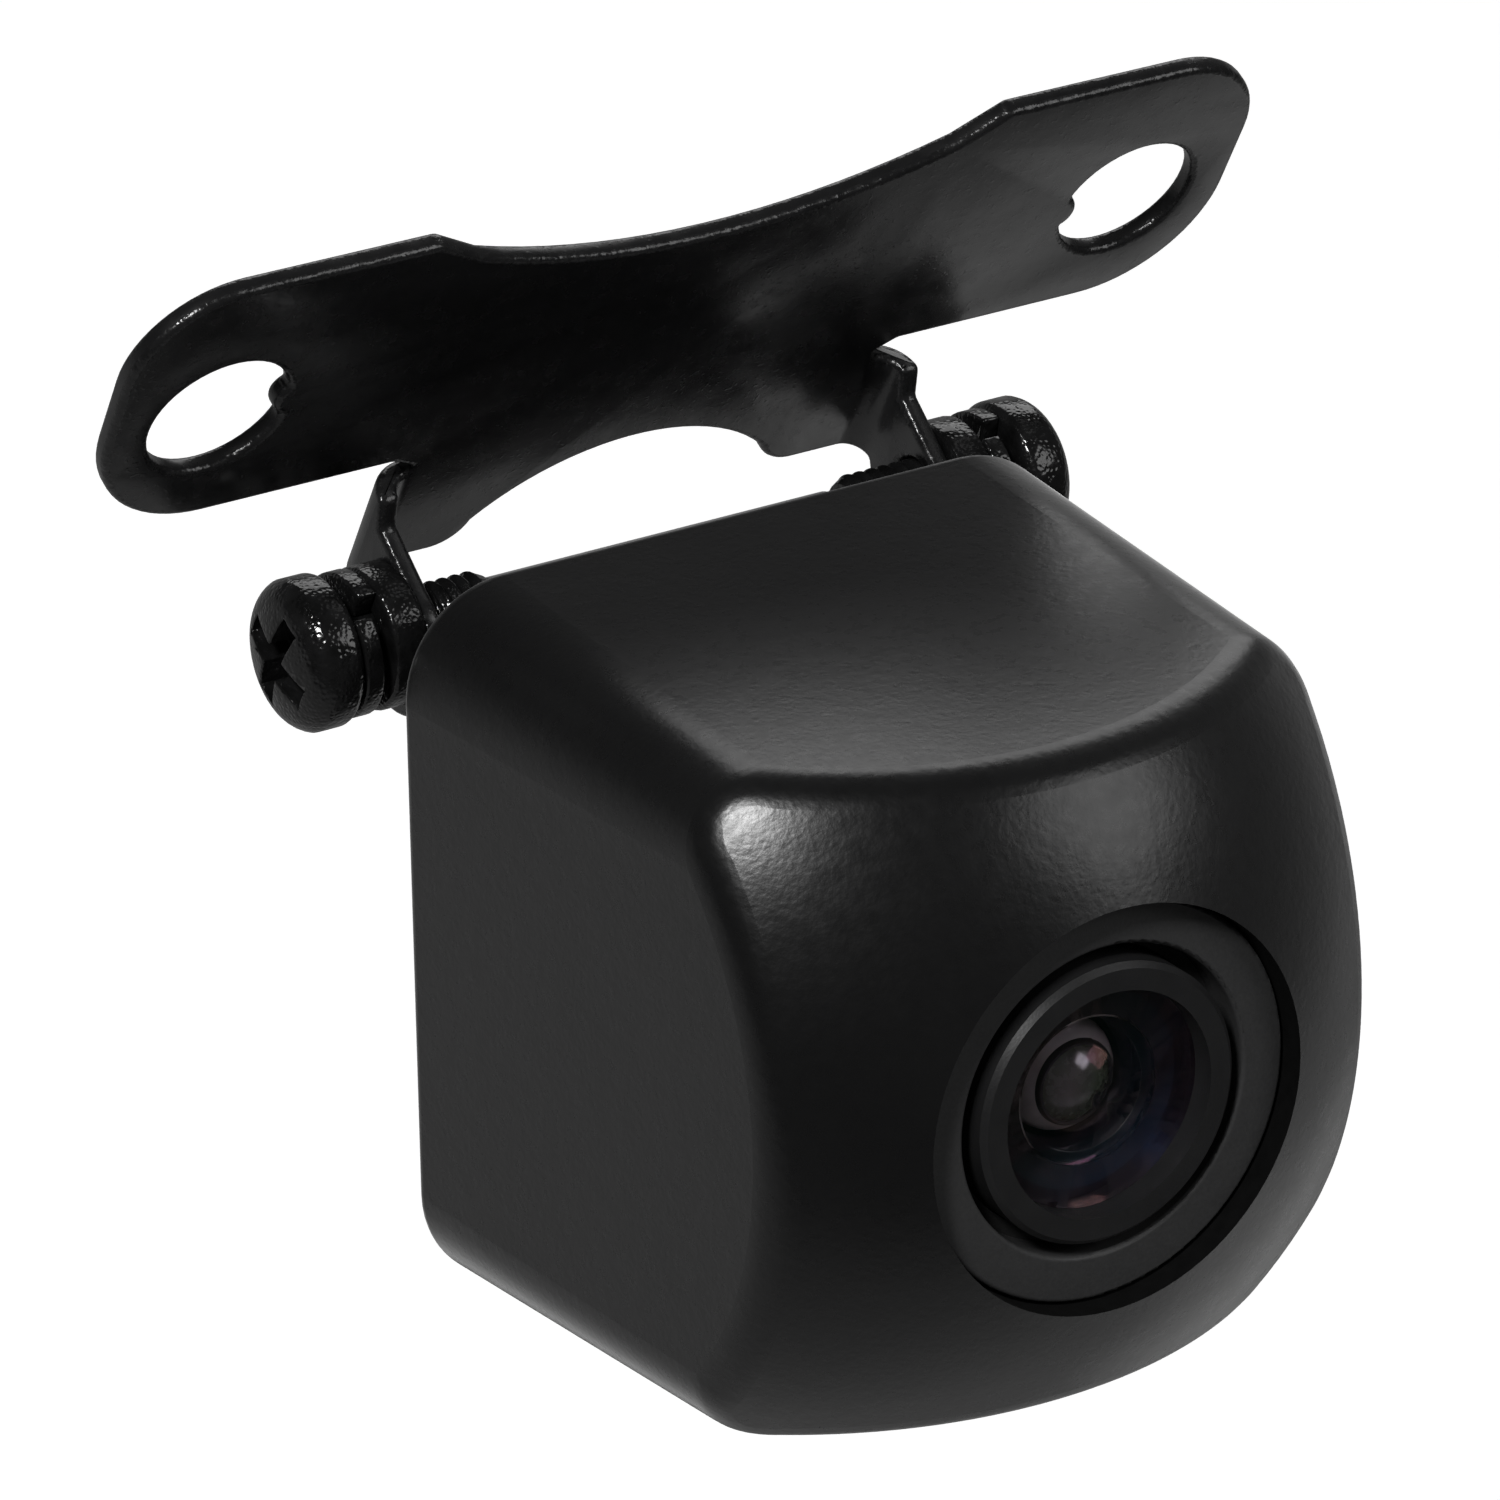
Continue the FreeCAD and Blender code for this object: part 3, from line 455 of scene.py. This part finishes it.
def arc_profile(tip, edge, radius, steps):
    """(ahead, radius) points of a shallow dome from its edge to its tip."""
    rise = tip - edge
    curve = (radius ** 2 + rise ** 2) / (2 * rise)
    spread = math.asin(radius / curve)
    angles = [spread * (1 - step / steps) for step in range(steps + 1)]
    return [(tip - curve * (1 - math.cos(angle)), curve * math.sin(angle)) for angle in angles]


def make_inner_lens():
    """The second element as it is seen: a grey cell, a dark lip and the small dome whose colour is
    painted reflection.
    """
    cell = turned("inner_lens_cell", CELL_OUTLINE, cell_grey())
    turned("inner_lens_lip", LIP_OUTLINE, MATERIALS["barrel_black"])
    dome = arc_profile(DOME_TIP, DOME_EDGE, DOME_RADIUS, DOME_STEPS)
    turned("inner_lens_dome", dome + [(DOME_BASE, 0.0), (DOME_BASE, DOME_RADIUS)],
           small_lens_painted_reflection())
    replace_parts(cell, "middle_lens_element")


def paint_mouth_shade():
    """Painted shade: flat black on the housing's mouth wall, the shaded gap around the retaining
    ring.
    """
    made = Shader("mouth_painted_shade", Roughness=0.9, Specular_IOR_Level=0.1)
    # Near-black colour that paints the shade inside the mouth
    made.tint(made.spread(made.noise(0.5 * MM), 0.3, 0.7, 0, 1), (0.002, 0.002, 0.002),
              (0.004, 0.004, 0.004))
    housing = nodes["front_housing"]
    housing.data.materials.append(made.material)
    mouth_slot = len(housing.data.materials) - 1
    for face in housing.data.polygons:
        offset = housing.matrix_world @ face.center - stop_centre
        ahead = offset.dot(lens_forward)
        radius = (offset - lens_forward * ahead).length
        if ahead > MOUTH_START and MOUTH_INSIDE < radius < MOUTH_OUTSIDE:
            face.material_index = mouth_slot


make_inner_lens()
paint_mouth_shade()
nodes["lens_spacer_ring"].data.materials.clear()
nodes["lens_spacer_ring"].data.materials.append(black_with_painted_plum_reflection())


# ---- Floor and light -----------------------------------------------------------------------------

FLOOR_Z = -0.15
FLOOR_SIDE = 6.0
FLOOR_TONE_LIT = 0.36
FLOOR_TONE_SEEN = 0.93
FLOOR_GLOW_SEEN = 0.5
WORLD_SEEN = 1.0
WORLD_LIT = 0.05

# Area lights: direction from the part, distance, width and height in metres, radiance
LIGHTS = {
    "key_upper_left": ((-0.58, -0.02, 0.81), 0.60, 0.10, 0.10, 78.0),
    "fill_upper_right": ((0.54, -0.36, 0.76), 0.70, 0.34, 0.34, 2.7),
    "back_right": ((0.485, 0.869, 0.22), 0.90, 0.70, 0.44, 1.8),
    "low_front": ((0.66, -0.24, -0.71), 0.17, 0.10, 0.10, 0.28),
}


def make_floor():
    """Pale floor that looks near white to the camera but throws less light onto the part."""
    half = FLOOR_SIDE / 2
    mesh = bpy.data.meshes.new("floor")
    corners = [(-half, -half, FLOOR_Z), (half, -half, FLOOR_Z), (half, half, FLOOR_Z),
               (-half, half, FLOOR_Z)]
    mesh.from_pydata(corners, [], [(0, 1, 2, 3)])
    floor = bpy.data.objects.new("floor", mesh)
    bpy.context.scene.collection.objects.link(floor)
    made = Shader("floor_white", Roughness=0.8)
    seen = made.add("ShaderNodeLightPath").outputs["Is Camera Ray"]
    made.tint(seen, (FLOOR_TONE_LIT,) * 3, (FLOOR_TONE_SEEN,) * 3)
    made.shader.inputs["Emission Color"].default_value = (1, 1, 1, 1)
    glow = made.spread(seen, 0, 1, 0, FLOOR_GLOW_SEEN)
    made.tree.links.new(glow, made.shader.inputs["Emission Strength"])
    floor.data.materials.append(made.material)


def soft_light(name, toward, distance, width, height, radiance, aim):
    """Rectangular area light `distance` metres from the aim point in the direction `toward`."""
    lamp = bpy.data.lights.new(name, "AREA")
    lamp.shape = "RECTANGLE"
    lamp.size = width
    lamp.size_y = height
    lamp.energy = radiance * math.pi * width * height
    light = bpy.data.objects.new(name, lamp)
    bpy.context.scene.collection.objects.link(light)
    away = Vector(toward).normalized()
    light.location = Vector(aim) + away * distance
    light.rotation_mode = "QUATERNION"
    light.rotation_quaternion = away.to_track_quat("Z", "Y")
    light.visible_camera = False


def set_world(shown, lit):
    """Even backdrop: brightness `shown` to the camera and `lit` for light and reflections."""
    world = bpy.data.worlds.new("studio")
    world.use_nodes = True
    tree = world.node_tree
    path = tree.nodes.new("ShaderNodeLightPath")
    strength = tree.nodes.new("ShaderNodeMapRange")
    strength.inputs["To Min"].default_value = lit
    strength.inputs["To Max"].default_value = shown
    tree.links.new(path.outputs["Is Camera Ray"], strength.inputs["Value"])
    tree.links.new(strength.outputs["Result"], tree.nodes["Background"].inputs["Strength"])
    tree.nodes["Background"].inputs["Color"].default_value = (1, 1, 1, 1)
    bpy.context.scene.world = world


centre = (cad_box[0] + cad_box[1]) / 2
make_floor()
set_world(WORLD_SEEN, WORLD_LIT)
for light_name, settings in LIGHTS.items():
    soft_light(light_name, *settings, centre)
bpy.context.scene.view_settings.view_transform = "Standard"


# ---- Camera --------------------------------------------------------------------------------------

CAMERA_AIM = Vector((-3.108, -13.531, -5.615)) * MM
CAMERA_DISTANCE = 281.94 * MM
CAMERA_AZIMUTH = math.radians(-45.998)
CAMERA_ELEVATION = math.radians(47.712)
CAMERA_ROLL = math.radians(22.297)
CAMERA_LENS = 220.30


def make_camera():
    """Camera that looks down on the part from its front left."""
    data = bpy.data.cameras.new("camera")
    data.lens = CAMERA_LENS
    data.sensor_width = 36.0
    data.clip_start = 0.01
    data.clip_end = 10.0
    camera = bpy.data.objects.new("camera", data)
    bpy.context.scene.collection.objects.link(camera)
    back = Vector((
        math.sin(CAMERA_AZIMUTH) * math.cos(CAMERA_ELEVATION),
        -math.cos(CAMERA_AZIMUTH) * math.cos(CAMERA_ELEVATION),
        math.sin(CAMERA_ELEVATION)))
    right = Vector((math.cos(CAMERA_AZIMUTH), math.sin(CAMERA_AZIMUTH), 0))
    up = back.cross(right)
    # Roll the picture about the line of sight
    rolled_right = right * math.cos(CAMERA_ROLL) + up * math.sin(CAMERA_ROLL)
    rolled_up = up * math.cos(CAMERA_ROLL) - right * math.sin(CAMERA_ROLL)
    camera.rotation_mode = "QUATERNION"
    turn = Matrix((rolled_right, rolled_up, back)).transposed()
    camera.rotation_quaternion = turn.to_quaternion()
    camera.location = CAMERA_AIM + back * CAMERA_DISTANCE
    bpy.context.scene.camera = camera


make_camera()
